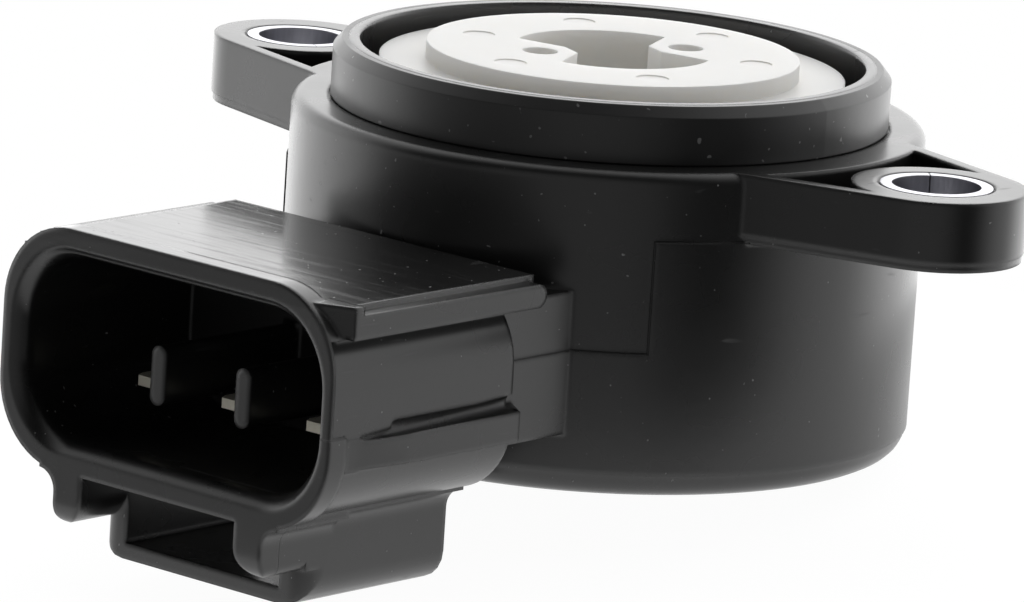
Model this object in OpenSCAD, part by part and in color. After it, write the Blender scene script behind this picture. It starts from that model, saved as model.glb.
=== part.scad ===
// Throttle position sensor. Millimetres, +Z points at the throttle body it bolts to.
// The origin is on the rotor's axis, on the flat mounting face.
// The connector points to -Y and the two fixing ears lie along X.

/* [Housing cup] */
// Radius of the cup's outer wall
cup_r = 19.9; // [19.4:0.1:21]
// Depth of the cup below the mounting face
cup_depth = 20.3; // [19.8:0.1:24]
// Radius of the edge between the mounting face and the wall
top_edge_r = 0.75; // [0.3:0.05:1]
// Radius of the edge at the bottom of the wall
bottom_edge_r = 1.5; // [0.5:0.1:1.7]
// Width of the ledge that the board rests on
ledge_w = 1.6; // [1.4:0.1:2.2]
// Radius of the seat for the board and the rear cover
cover_seat_r = 17.6; // [17:0.1:17.8]
// How proud the lower mould half stands
mould_step = 0.12; // [0.05:0.01:0.3]
// Height of the mould line round the back, below the mounting face
mould_line_z = 4.2; // [4:0.1:5]
// Height of the mould line beside the connector, below the mounting face
mould_line_low_z = 11.2; // [10:0.1:12]
// Direction in which the mould line steps down, in degrees
mould_step_deg = -40; // [-44:0.5:-32]

/* [Spigot and seal] */
// Radius inside the spigot, round the rotor
spigot_bore_r = 15.88; // [15.6:0.02:15.96]
// Wall of the spigot inside the seal ring
spigot_wall = 0.67; // [0.6:0.01:1]
// Height of the spigot above the mounting face
spigot_h = 3.61; // [3:0.01:5]
// Radial thickness of the seal ring
seal_wall = 0.95; // [0.7:0.01:1.4]
// Chamfer on the seal ring, across the radius
seal_chamfer_r = 0.55; // [0.2:0.01:0.6]
// Chamfer on the seal ring, along the axis
seal_chamfer_h = 0.65; // [0.2:0.01:0.9]

/* [Ears] */
// Distance between the two fixing holes
ear_pitch = 52.9; // [52:0.1:56]
// Radius of an ear's tip
ear_tip_r = 5.6; // [5.2:0.1:6.2]
// Thickness of an ear
ear_t = 4.3; // [4:0.1:5.2]
// How far an ear's sides lean from the X axis, in degrees
ear_side_deg = 16; // [14:0.5:22]
// How far the mould line lies above an ear's lower face
ear_lower_t = 0.5; // [0.3:0.1:1]
// Wall between an ear's side and its pocket
ear_rib = 0.9; // [0.8:0.05:1.2]
// Radius of the boss round a bush
ear_boss_r = 5.2; // [4.9:0.05:5.3]
// Depth of the pocket in an ear
ear_pocket_depth = 3; // [1:0.1:3.4]
// Radius of the hole through a steel bush
bush_bore_r = 2.74; // [2.2:0.01:3]
// Wall of a steel bush
bush_wall = 0.72; // [0.6:0.01:1.1]
// Width of the split in a rolled bush
bush_split = 0.06; // [0.04:0.01:0.2]
// Depth of the witness groove round a bush
bush_groove = 0.2; // [0.1:0.05:0.4]

/* [Connector] */
// Distance from the axis to the mouth of the connector
mouth_y = 39.25; // [38:0.05:41]
// Half of the mouth rim's width
rim_half_w = 13.6; // [13.4:0.1:14.2]
// Top of the mouth rim, above the middle of the blades
rim_above = 10; // [9.8:0.05:10.2]
// Bottom of the mouth rim, below the middle of the blades
rim_below = 5; // [4.8:0.05:5.4]
// Corner radius of the mouth rim
rim_corner_r = 5.2; // [4.5:0.1:5.8]
// Depth of the mouth rim along the connector, below its side ledge
rim_depth = 1.6; // [1.2:0.1:3]
// Thickness of the rim's lip above the side ledge
rim_lip = 0.3; // [0.2:0.05:0.6]
// Side ledge of the rim, above the middle of the blades
rim_ledge_above = 1.35; // [1.2:0.05:1.6]
// Half of the shell's width behind the rim
shell_half_w = 13.3; // [13.1:0.05:13.4]
// Half of the shell's width below the fins
belly_half_w = 13.45; // [13.35:0.05:13.55]
// Bottom of the shell, below the middle of the blades
shell_below = 4.6; // [4.4:0.1:4.9]
// Corner radius of the shell
shell_corner_r = 5; // [4.5:0.1:5.6]
// Distance from the axis to the back of the shell
shell_back_y = 22.8; // [22.4:0.1:23.4]
// Half of the socket's width
socket_half_w = 12.1; // [11.8:0.05:12.2]
// Top of the socket, above the middle of the blades
socket_above = 8.15; // [7.9:0.05:8.2]
// Bottom of the socket, below the middle of the blades
socket_below = 3.15; // [3:0.05:3.3]
// Corner radius of the socket
socket_corner_r = 4.4; // [3.5:0.1:4.8]
// Distance from the axis to the socket's end wall
socket_end_y = 24.3; // [24:0.1:25]
// Width of the flare at the mouth
lead_in = 0.6; // [0.3:0.05:0.7]

/* [Connector outside] */
// Top of the roof plate, above the middle of the blades
roof_above = 8.95; // [8.8:0.05:9.1]
// Half of the roof plate's width
roof_half_w = 12.4; // [12:0.1:12.6]
// Distance from the axis to the roof plate's back edge
roof_back_y = 20.5; // [20.2:0.1:21]
// Half of the width across the side rails
rail_half_w = 13.65; // [13.45:0.05:13.8]
// Height of a side rail
rail_h = 1.45; // [1:0.05:1.8]
// Top of the side rails, above the middle of the blades
rail_above = 8.65; // [8.4:0.05:8.8]
// Distance from the axis to the back end of a rail
rail_back_y = 20.6; // [20.3:0.1:21.5]
// Half of the width across the side fins
fin_half_w = 13.95; // [13.7:0.05:14.2]
// Top of the side fins, above the middle of the blades
fin_above = 1.05; // [0.8:0.05:1.4]
// Height of a side fin
fin_h = 1.85; // [1.2:0.05:2.2]
// Distance from the axis to the front end of a fin
fin_front_y = 35.6; // [34:0.1:36]
// Distance from the axis to the back end of a fin
fin_back_y = 21.2; // [20.8:0.1:22]
// Half of the neck's width, between the connector and the cup
neck_half_w = 11.8; // [11.6:0.1:12.2]
// Top of the neck, above the middle of the blades
neck_above = 7.3; // [7:0.1:7.6]
// Bottom of the neck, below the middle of the blades
neck_below = 1.6; // [1.4:0.1:2.2]

/* [Latch hood] */
// Half of the hood's width
hood_half_w = 8.6; // [8.4:0.05:8.9]
// Half of the tunnel's width under the connector
tunnel_half_w = 6.4; // [6.1:0.05:6.6]
// Bottom of the hood, below the middle of the blades
hood_below = 10.65; // [10.5:0.05:11.2]
// Thickness of the bar under the tunnel
bar_t = 1; // [0.8:0.05:1.1]
// Distance from the axis to the bar's front edge
bar_front_y = 35; // [33:0.1:35.6]
// Radius of the hood's lower corners
hood_corner_r = 2; // [1.5:0.1:2.3]
// Radius of the hood's front corners, seen from below
hood_front_r = 1.5; // [0.8:0.1:1.8]
// Radius of the fillets between the hood and the shell
hood_fillet_r = 1.3; // [0.8:0.1:1.5]
// How far the rim's feet reach, below the middle of the blades
foot_below = 8.25; // [7.7:0.05:8.6]
// Radius of the feet's rounded inner corners
foot_r = 1.9; // [1.2:0.05:2]

/* [Terminals] */
// Distance between terminals
terminal_pitch = 7; // [6.8:0.1:7.1]
// Width of a terminal blade
terminal_w = 2.3; // [1.8:0.05:2.5]
// Thickness of a terminal blade
terminal_t = 0.64; // [0.5:0.02:0.8]
// Distance from the axis to a terminal's tip
terminal_tip_y = 33.1; // [31:0.1:35]
// Thickness of a divider between terminals
divider_t = 1.2; // [1:0.05:1.4]
// Top of the dividers, above the middle of the blades
divider_above = 3.45; // [3.1:0.05:3.8]
// Bottom of the dividers, below the middle of the blades
divider_below = 0.45; // [0.4:0.05:0.6]
// Distance from the axis to the front of the dividers
divider_front_y = 36.5; // [35:0.1:36.8]

/* [Rotor] */
// Radius of the rotor's raised disc
disc_r = 11.7; // [11.5:0.05:12]
// Top of the raised disc, above the mounting face
disc_top_z = 3.75; // [3.2:0.05:5]
// Gap between the rotor's flange and the spigot's bore
flange_gap = 1.28; // [1:0.02:1.5]
// Top of the flange, above the mounting face
flange_top_z = 2.65; // [2.2:0.05:3]
// Thickness of the flange
flange_t = 2.2; // [1.6:0.05:2.4]
// Radius of the drive socket
drive_r = 6.17; // [6:0.01:6.2]
// Wall round the drive socket
hub_wall = 1.4; // [1.2:0.05:1.6]
// Thickness of the drive socket's floor
drive_floor_t = 1.4; // [1.2:0.05:1.8]
// Radius of the pin hole in each drive tab
tab_hole_r = 1.1; // [0.9:0.05:1.2]
// Distance of the pin holes from the axis
tab_hole_at = 5; // [4.9:0.05:5.3]
// Radius of the journal in the bearing
journal_r = 4; // [3.5:0.05:4.3]
// How far the rotor turns from closed to fully open, in degrees
travel_deg = 110; // [90:1:115]

/* [Bearing and spring] */
// Running clearance of the journal, on the radius
running_gap = 0.04; // [0.02:0.01:0.09]
// Wall of the bearing bush
bearing_wall = 1.4; // [1:0.05:1.8]
// Length of the bearing bush
bearing_len = 3.5; // [3:0.05:3.6]
// Thickness of the floor under the rotor
floor_t = 2.2; // [1.8:0.1:2.4]
// Thickness of the thrust washer
washer_t = 0.5; // [0.4:0.02:0.52]
// Thickness of the retaining ring
ring_t = 0.6; // [0.4:0.05:0.7]
// Wire diameter of the return spring
wire_d = 0.9; // [0.6:0.05:1]
// Mean radius of the return spring
spring_r = 10; // [9.6:0.05:10.4]
// Turns of the return spring
spring_turns = 3.6; // [3:0.1:4]

/* [Wiper and board] */
// Depth between the board's face and the bottom edge of the cup
board_room = 5.12; // [5.05:0.01:5.4]
// Thickness of the board
board_t = 1; // [0.8:0.05:1.2]
// Radius of the hole in the middle of the board
board_hole_r = 4.6; // [4:0.1:5]
// Middle radius of the resistor track
resistor_r = 11.6; // [11.4:0.05:12]
// Middle radius of the collector track
collector_r = 8; // [7.6:0.05:8.4]
// Width of a track
track_w = 2; // [1.6:0.05:2.2]
// Thickness of a track
track_t = 0.06; // [0.04:0.01:0.1]
// Radius of the wiper carrier
carrier_r = 9.5; // [9:0.1:10]
// Thickness of the wiper carrier
carrier_t = 1.5; // [1.2:0.05:1.6]
// Room for the wiper, between its carrier and the board
wiper_room = 1.28; // [1.2:0.01:1.5]
// Thickness of the wiper's spring leaf
leaf_t = 0.15; // [0.1:0.01:0.2]
// Gap between a wiper finger and its track
wiper_gap = 0.1; // [0.05:0.01:0.15]
// Thickness of the rear cover
cover_t = 1.8; // [1.5:0.05:2]

/* [Hidden] */
$fn = 96;
// Overlap that makes a cut run clear through a face
eps = 0.01;
bush_outer_r = bush_bore_r + bush_wall;
spigot_outer_r = spigot_bore_r + spigot_wall;
seal_outer_r = spigot_outer_r + seal_wall;
seal_seat = 0.2;
seal_gap = 0.1;
// The ears' roots end in the cup's wall, outside the seal's seat
ear_root_r = (seal_outer_r + seal_gap + cup_r - top_edge_r) / 2;
// Heights inside the cup, stacked up from the board
clear = 0.1;
board_top_z = cup_depth - board_room;
board_low_z = board_top_z + board_t;
carrier_low_z = board_top_z - wiper_room;
carrier_top_z = carrier_low_z - carrier_t;
journal_low_z = carrier_low_z + 3 * clear;
ring_low_z = carrier_top_z - 2 * clear;
ring_top_z = ring_low_z - ring_t;
bearing_low_z = ring_top_z - clear;
floor_z = bearing_low_z - bearing_len;
hub_low_z = floor_z - washer_t - clear;
drive_floor_z = hub_low_z - drive_floor_t;
cover_low_z = cup_depth - 0.35;
cover_top_z = cover_low_z - cover_t;
// Radii inside the cup
chamber_r = cover_seat_r - ledge_w;
board_r = cover_seat_r - 0.15;
cover_r = cover_seat_r - clear;
sealant_w = 0.9;
hub_r = drive_r + hub_wall;
bearing_outer_r = journal_r + running_gap + bearing_wall;
key_flat = journal_r - 0.8;
key_gap = 0.05;
flange_r = spigot_bore_r - flange_gap;
flange_low_z = flange_top_z - flange_t;
skirt_r = flange_r - 1.7;
skirt_low_z = floor_z / 2;
// The terminals end at eyelets, just inside the board's ledge
eyelet_r = 0.6;
eyelet_lip = 0.3;
eyelet_y = sqrt(pow(chamber_r - eyelet_r - 2 * eyelet_lip, 2) - pow(terminal_pitch, 2));
terminal_z = board_top_z - track_t - terminal_t / 2;
terminal_back_y = eyelet_y - 0.9;
// Heights of the connector, from the middle of the blades
rim_top_z = terminal_z - rim_above;
rim_low_z = terminal_z + rim_below;
shell_low_z = terminal_z + shell_below;
socket_top_z = terminal_z - socket_above;
socket_low_z = terminal_z + socket_below;
roof_top_z = terminal_z - roof_above;
rail_top_z = terminal_z - rail_above;
fin_top_z = terminal_z - fin_above;
neck_top_z = terminal_z - neck_above;
neck_low_z = terminal_z + neck_below;
hood_low_z = terminal_z + hood_below;
foot_low_z = terminal_z + foot_below;
rim_ledge_z = terminal_z - rim_ledge_above;
divider_top_z = terminal_z - divider_above;
divider_low_z = terminal_z + divider_below;
// Directions of the stop, skirt, spring and wiper
tab_hole_deg = -114.5;
stop_deg = 14;
stop_gap_deg = 1;
skirt_deg = 360 - travel_deg - stop_deg - 2 * stop_gap_deg;
stop_at_deg = 90;
spring_start_deg = stop_at_deg + stop_deg / 2 + 6;
spring_end_deg = spring_start_deg + 360 * spring_turns;
wiper_at_deg = 90 - travel_deg / 2;
resistor_gap_deg = 80;
ear_x = ear_pitch / 2;

// A rectangle with round corners, between two heights
module round_rect(half_w, low, high, r) {
    translate([-half_w, low + r]) square([2 * half_w, high - low - 2 * r]);
    translate([-half_w + r, low]) square([2 * (half_w - r), high - low]);
    for (x = [-half_w + r, half_w - r], y = [low + r, high - r])
        translate([x, y]) circle(r);
}

// An outline in X and Z, extruded along Y between two distances in front of the axis
module along_y(back, front) {
    translate([0, -back, 0]) rotate([90, 0, 0]) linear_extrude(front - back) children();
}

// A disc on the axis, between two heights
module disc(r, low, high) {
    translate([0, 0, low]) cylinder(r = r, h = high - low);
}

// A ring between two radii and two heights
module ring(r_in, r_out, low, high) {
    difference() {
        disc(r_out, low, high);
        disc(r_in, low - eps, high + eps);
    }
}

// Points of a quarter round edge, from one angle to another
function edge_arc(cx, cy, r, from, to, n = 5) =
    [for (i = [0 : n]) let (a = from + (to - from) * i / n) [cx + r * cos(a), cy + r * sin(a)]];

// A flat sector of a ring, about an angle
module sector(r_in, r_out, at_deg, wide_deg) {
    n = ceil(wide_deg / 30);
    start = at_deg - wide_deg / 2;
    intersection() {
        difference() {
            circle(r_out);
            circle(r_in);
        }
        polygon(concat([[0, 0]],
            [for (i = [0 : n]) let (a = start + wide_deg * i / n) 2 * r_out * [cos(a), sin(a)]]));
    }
}

// The cup's outer wall, the seal's seat and the spigot in one turned section
module cup_body() {
    rotate_extrude() polygon(concat(
        [[0, -cup_depth]],
        edge_arc(cup_r - bottom_edge_r, -cup_depth + bottom_edge_r, bottom_edge_r, -90, 0),
        edge_arc(cup_r - top_edge_r, -top_edge_r, top_edge_r, 0, 90),
        [[seal_outer_r + seal_gap, 0], [seal_outer_r + seal_gap, -seal_seat],
         [spigot_outer_r, -seal_seat], [spigot_outer_r, spigot_h], [0, spigot_h]]));
}

// The skin of the lower mould half, a little proud, with its line stepped down at the front
// and carried on round the neck
module mould_skin() {
    neck_w = neck_half_w + mould_step;
    along_y(cup_r - 6, shell_back_y + eps)
        translate([-neck_w, -neck_low_z]) square([2 * neck_w, neck_low_z - mould_line_low_z]);
    reach = 2 * cup_r;
    edge = reach * [cos(mould_step_deg), sin(mould_step_deg)];
    difference() {
        ring(cup_r - 1, cup_r + mould_step, -cup_depth + bottom_edge_r, -mould_line_z);
        translate([0, 0, -mould_line_low_z]) linear_extrude(mould_line_low_z)
            polygon([[0, 0], edge, [edge[0], -reach], [-edge[0], -reach], [-edge[0], edge[1]]]);
    }
}

// One ear's outline, with sides that lean in and end just inside its round tip
module ear_outline(tip_r) {
    s = ear_side_deg;
    inside_r = tip_r - eps / 2;
    tip = [ear_x + inside_r * sin(s), inside_r * cos(s)];
    root = [cup_r / 2, tip[1] + (tip[0] - cup_r / 2) * tan(s)];
    translate([ear_x, 0]) circle(tip_r);
    polygon([[root[0], -root[1]], [tip[0], -tip[1]], tip, root]);
}

// The pocket between the cup's wall, an ear's side ribs and its boss
module ear_pocket() {
    translate([0, 0, -ear_pocket_depth]) linear_extrude(ear_pocket_depth + 1) difference() {
        ear_outline(ear_tip_r - ear_rib);
        circle(cup_r + mould_step + 0.2);
        translate([ear_x, 0]) circle(ear_boss_r);
        translate([ear_x, -10]) square([10, 20]);
    }
}

// The ears, with the mould line near their lower edge
module ears() {
    for (turn = [0, 180]) rotate([0, 0, turn]) difference() {
        union() {
            translate([0, 0, -ear_t]) linear_extrude(ear_t) ear_outline(ear_tip_r - mould_step);
            translate([0, 0, ear_lower_t - ear_t]) linear_extrude(ear_t - ear_lower_t)
                ear_outline(ear_tip_r);
        }
        disc(ear_root_r, -ear_t - 1, 1);
        ear_pocket();
    }
}

// The shell, hood and fins share one outline from the back of the connector to the rim
module shell_outline() {
    top = -roof_top_z - 0.3;
    round_rect(shell_half_w, -shell_low_z, top, shell_corner_r);
    intersection() {
        round_rect(belly_half_w, -shell_low_z, top, shell_corner_r);
        translate([-belly_half_w, -shell_low_z]) square([2 * belly_half_w, shell_low_z - fin_top_z - fin_h]);
    }
}

module hood_outline() {
    corner = hood_corner_r;
    polygon(concat(
        edge_arc(hood_half_w - corner, -hood_low_z + corner, corner, 0, -90),
        edge_arc(-hood_half_w + corner, -hood_low_z + corner, corner, -90, -180),
        [[-hood_half_w, -shell_low_z + 2], [hood_half_w, -shell_low_z + 2]]));
    for (side = [-1, 1]) scale([side, 1]) difference() {
        translate([hood_half_w - eps, -shell_low_z - hood_fillet_r])
            square([hood_fillet_r, hood_fillet_r + 1]);
        translate([hood_half_w + hood_fillet_r, -shell_low_z - hood_fillet_r]) circle(hood_fillet_r);
    }
}

module tunnel_outline() {
    translate([-tunnel_half_w, -hood_low_z + bar_t])
        square([2 * tunnel_half_w, hood_low_z - bar_t - rim_low_z - 0.05]);
}

// The two feet of the hood, each with a fillet where it leaves the connector
module feet_outline() {
    for (side = [-1, 1]) scale([side, 1]) {
        translate([tunnel_half_w, -foot_low_z + foot_r])
            square([hood_half_w - tunnel_half_w, foot_low_z - foot_r - rim_low_z + 2]);
        intersection() {
            translate([tunnel_half_w + foot_r, -foot_low_z + foot_r]) circle(foot_r);
            translate([0, -foot_low_z - 1]) square([hood_half_w, foot_r + 2]);
        }
        difference() {
            translate([hood_half_w - eps, -rim_low_z - hood_fillet_r])
                square([hood_fillet_r, hood_fillet_r + 1]);
            translate([hood_half_w + hood_fillet_r, -rim_low_z - hood_fillet_r]) circle(hood_fillet_r);
        }
    }
}

// The hood's plan, with round front corners
module hood_plan() {
    wide = hood_half_w + hood_fillet_r;
    r = hood_front_r;
    translate([-wide, -bar_front_y + r]) square([2 * wide, bar_front_y - r - shell_back_y]);
    translate([-hood_half_w + r, -bar_front_y]) square([2 * (hood_half_w - r), 2 * r]);
    for (side = [-1, 1]) translate([side * (hood_half_w - r), -bar_front_y + r]) circle(r);
}

module rim_outline() {
    round_rect(rim_half_w, -rim_low_z, -rim_top_z, rim_corner_r);
}

// The rim: a thin lip on the shell, and deeper below the side ledge and along the roof
module mouth_rim() {
    rim_back = mouth_y - rim_depth;
    along_y(mouth_y - rim_lip, mouth_y) rim_outline();
    along_y(rim_back, mouth_y - rim_lip + eps) difference() {
        rim_outline();
        translate([-2 * rim_half_w, -rim_ledge_z]) square([4 * rim_half_w, rim_ledge_z - roof_top_z]);
    }
}

module connector_outside() {
    rim_back = mouth_y - rim_depth;
    along_y(shell_back_y, mouth_y - rim_lip + eps) shell_outline();
    intersection() {
        along_y(shell_back_y, bar_front_y) difference() {
            hood_outline();
            tunnel_outline();
        }
        translate([0, 0, -hood_low_z - 1]) linear_extrude(hood_low_z - shell_low_z + 3) hood_plan();
    }
    along_y(bar_front_y - hood_front_r - 0.5, mouth_y) feet_outline();
    mouth_rim();
    // The solid block between the socket's end wall and the cup
    along_y(cup_r - 6, shell_back_y + eps)
        translate([-neck_half_w, -neck_low_z]) square([2 * neck_half_w, neck_low_z - neck_top_z]);
    along_y(roof_back_y, rim_back + eps)
        translate([-roof_half_w, -roof_top_z - 2]) square([2 * roof_half_w, 2]);
    for (side = [-1, 1]) scale([side, 1, 1]) {
        rail();
        fin();
    }
}

// A rail along the roof's side, with a rounded back end
module rail() {
    reach = rail_half_w - roof_half_w + 1;
    r = rail_h / 2;
    translate([rail_half_w - reach, 0, -rail_top_z - r]) rotate([90, 0, 90]) linear_extrude(reach) {
        translate([-mouth_y + rim_depth - eps, -r])
            square([mouth_y - rim_depth - rail_back_y - r + eps, rail_h]);
        translate([-rail_back_y - r, 0]) circle(r);
    }
}

// A scoop in the shell's side, over the fin
module fin_scoop() {
    r = 0.45;
    at = [shell_half_w + 0.15, -fin_front_y + 2.5, -fin_top_z + 0.35];
    translate(at) rotate([-90, 0, 0]) cylinder(r = r, h = fin_front_y - 2.5 - shell_back_y - 0.5);
    translate(at) sphere(r);
}

// A fin low on the shell's side, tapered at its front end
module fin() {
    translate([0, 0, -fin_top_z - fin_h]) linear_extrude(fin_h)
        polygon([[shell_half_w - 2, -fin_front_y - 1.2], [belly_half_w, -fin_front_y - 1],
                 [fin_half_w, -fin_front_y + 1.5], [fin_half_w, -fin_back_y - 1.5],
                 [neck_half_w, -fin_back_y], [neck_half_w - 2, -fin_back_y]]);
}

// The flare at the mouth: the socket's outline grown evenly over a depth
module flare(depth, grow) {
    r = socket_corner_r;
    half_w = socket_half_w;
    mid_w = half_w - r;
    low = -socket_low_z;
    high = -socket_top_z;
    for (x = [-mid_w, mid_w], z = [low + r, high - r])
        translate([x, -mouth_y + depth, z]) rotate([90, 0, 0])
            cylinder(r1 = r, r2 = r + grow, h = depth + eps);
    translate([-mid_w, -mouth_y, 0]) rotate([90, 0, 90]) linear_extrude(2 * mid_w)
        polygon([[depth, low], [-eps, low - grow], [-eps, high + grow], [depth, high]]);
    translate([0, -mouth_y, low + r]) linear_extrude(high - low - 2 * r)
        polygon([[-half_w, depth], [-half_w - grow, -eps], [half_w + grow, -eps], [half_w, depth]]);
}

module socket() {
    along_y(socket_end_y, mouth_y + eps)
        round_rect(socket_half_w, -socket_low_z, -socket_top_z, socket_corner_r);
    flare(2.5 * lead_in, lead_in / 2);
    flare(0.8 * lead_in, lead_in);
}

module dividers() {
    r = divider_t / 2;
    for (side = [-1, 1])
        translate([side * terminal_pitch / 2, -divider_front_y + r, -divider_low_z])
            linear_extrude(divider_low_z - divider_top_z) {
                translate([-r, 0]) square([divider_t, divider_front_y - r - socket_end_y + 1]);
                circle(r);
            }
}

// One terminal strip at its own place in X
module terminal_strip(x) {
    bevel = terminal_w / 4;
    half = terminal_w / 2;
    translate([x, 0, -terminal_z - terminal_t / 2]) linear_extrude(terminal_t)
        polygon([[half, -terminal_back_y], [-half, -terminal_back_y], [-half, -terminal_tip_y + bevel],
                 [-half + bevel / 2, -terminal_tip_y], [half - bevel / 2, -terminal_tip_y],
                 [half, -terminal_tip_y + bevel]]);
}

// The hole for an eyelet, through a terminal, its pad and the board
module eyelet_hole(x) {
    translate([x, -eyelet_y, -board_low_z - 1]) cylinder(r = eyelet_r + 0.02, h = board_t + 3, $fn = 32);
}

// The post that the rotor's skirt meets at each end of its travel
module stop_post() {
    translate([0, 0, -floor_z - eps]) linear_extrude(floor_z - 1)
        sector(skirt_r - 0.5, spigot_bore_r + spigot_wall / 2, stop_at_deg, stop_deg);
}

module housing() {
    color([0.09, 0.09, 0.1]) difference() {
        union() {
            difference() {
                union() {
                    cup_body();
                    mould_skin();
                    ears();
                    connector_outside();
                }
                // Room for the rotor, above the floor
                disc(spigot_bore_r, -floor_z, spigot_h + 1);
                disc(chamber_r, -board_top_z - eps, -floor_z - floor_t);
                disc(cover_seat_r, -cup_depth - 1, -board_top_z);
                socket();
            }
            dividers();
            stop_post();
            ring(bearing_outer_r, bearing_outer_r + 1.6, -bearing_low_z, -floor_z - floor_t + eps);
        }
        disc(bearing_outer_r, -bearing_low_z - 1, -floor_z + 1);
        for (turn = [0, 180]) rotate([0, 0, turn]) translate([ear_x, 0, 0]) {
            disc(bush_outer_r, -ear_t - 1, 1);
            disc(bush_outer_r + bush_groove, -bush_groove, 1);
        }
        for (side = [-1, 1]) scale([side, 1, 1]) fin_scoop();
        // The strips' way through the wall and over the board's seat
        for (i = [-1, 0, 1]) {
            terminal_strip(i * terminal_pitch);
            translate([i * terminal_pitch - terminal_w / 2, -cover_seat_r, -board_top_z - eps])
                cube([terminal_w, cover_seat_r - terminal_back_y, track_t + 2 * eps]);
        }
    }
}

module seal_ring() {
    foot = 0.25;
    color([0.05, 0.05, 0.055]) rotate_extrude() polygon([
        [spigot_outer_r, -seal_seat], [seal_outer_r - foot, -seal_seat], [seal_outer_r, foot - seal_seat],
        [seal_outer_r, spigot_h - seal_chamfer_h], [seal_outer_r - seal_chamfer_r, spigot_h],
        [spigot_outer_r, spigot_h]]);
}

// A steel strip rolled round, with its split at an angle
module ear_bush(side, split_deg) {
    color([0.75, 0.75, 0.78]) translate([side * ear_x, 0, 0]) difference() {
        ring(bush_bore_r, bush_outer_r, -ear_t, 0);
        rotate([0, 0, split_deg]) translate([0, -bush_split / 2, -ear_t - 1])
            cube([bush_outer_r + 1, bush_split, ear_t + 2]);
    }
}

// The two drive tabs that reach into the rotor's hole
module drive_tab() {
    intersection() {
        circle(drive_r + 0.5);
        polygon([[-7, -3.2], [-5.74, -2.68], [-2.12, -2.17], [-0.41, -2.92], [1.08, -6.3],
                 [1.2, -7], [-6, -7]]);
    }
}

// What lies outside two flats, at a distance from the axis
module key_sides(flat, low, high) {
    for (turn = [0, 180]) rotate([0, 0, turn]) translate([flat, -10, low]) cube([10, 20, high - low]);
}

module rotor() {
    color([0.93, 0.93, 0.9]) difference() {
        union() {
            difference() {
                union() {
                    disc(disc_r, flange_top_z - eps, disc_top_z);
                    disc(flange_r, flange_low_z, flange_top_z);
                    disc(hub_r, -hub_low_z, flange_low_z + eps);
                    translate([0, 0, -skirt_low_z]) linear_extrude(skirt_low_z + flange_low_z + eps)
                        sector(skirt_r, flange_r, stop_at_deg + stop_deg / 2 + stop_gap_deg + skirt_deg / 2,
                               skirt_deg);
                }
                disc(drive_r, -drive_floor_z, disc_top_z + 1);
            }
            for (turn = [0, 180]) rotate([0, 0, turn])
                translate([0, 0, -drive_floor_z - eps]) linear_extrude(drive_floor_z + disc_top_z + eps)
                    drive_tab();
            disc(journal_r, -journal_low_z, -hub_low_z + eps);
        }
        for (turn = [0, 180]) rotate([0, 0, turn])
            translate([tab_hole_at * cos(tab_hole_deg), tab_hole_at * sin(tab_hole_deg), -drive_floor_z])
                cylinder(r = tab_hole_r, h = drive_floor_z + disc_top_z + 1, $fn = 48);
        // Marks of the mould's ejector pins
        for (at = [[-7.9, -3.8], [-0.6, -9], [7.5, -4.9], [7.8, 4.6], [0.3, 9.2], [-7.5, 5.3]])
            translate([at[0], at[1], disc_top_z - 0.06]) cylinder(r = 1, h = 1, $fn = 48);
        // The retaining ring's groove
        ring(journal_r - 0.5, journal_r + 1, -ring_low_z, -ring_top_z);
        // Flats that key the wiper carrier
        key_sides(key_flat, -journal_low_z - 1, -carrier_top_z);
        // The slot for the spring's upper leg
        translate([0, 0, flange_low_z - eps]) linear_extrude(1)
            sector(spring_r - wire_d / 2 - 0.15, spring_r + wire_d / 2 + 0.15, spring_end_deg + 8, 14);
    }
}

module bearing_bush() {
    color([0.72, 0.53, 0.3])
        ring(journal_r + running_gap, bearing_outer_r, -bearing_low_z, -floor_z);
}

module thrust_washer() {
    color([0.85, 0.85, 0.87])
        ring(journal_r + 0.15, hub_r - 0.2, -floor_z, -floor_z + washer_t);
}

// An open ring that springs into the journal's groove
module retaining_ring() {
    color([0.35, 0.35, 0.38]) difference() {
        ring(journal_r - 0.45, journal_r + 1.2, -ring_low_z + 0.03, -ring_top_z - 0.03);
        translate([0, -1.5, -ring_low_z - 1]) cube([journal_r + 3, 3, ring_t + 2]);
    }
}

// A round wire swept along a list of points, with closed ends
module wire(path, d, sides = 8) {
    n = len(path);
    along = [for (i = [0 : n - 1]) let (v = path[min(i + 1, n - 1)] - path[max(i - 1, 0)]) v / norm(v)];
    across = [for (t = along) let (u = cross([0, 0, 1], t)) u / norm(u)];
    points = [for (i = [0 : n - 1], k = [0 : sides - 1]) path[i]
        + (across[i] * cos(360 * k / sides) + cross(along[i], across[i]) * sin(360 * k / sides)) * d / 2];
    walls = [for (i = [0 : n - 2], k = [0 : sides - 1])
        let (a = i * sides, b = a + sides, m = (k + 1) % sides) [a + k, b + k, b + m, a + m]];
    polyhedron(points, concat(walls, [[for (k = [0 : sides - 1]) k]],
        [[for (k = [sides - 1 : -1 : 0]) (n - 1) * sides + k]]), convexity = 6);
}

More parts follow.
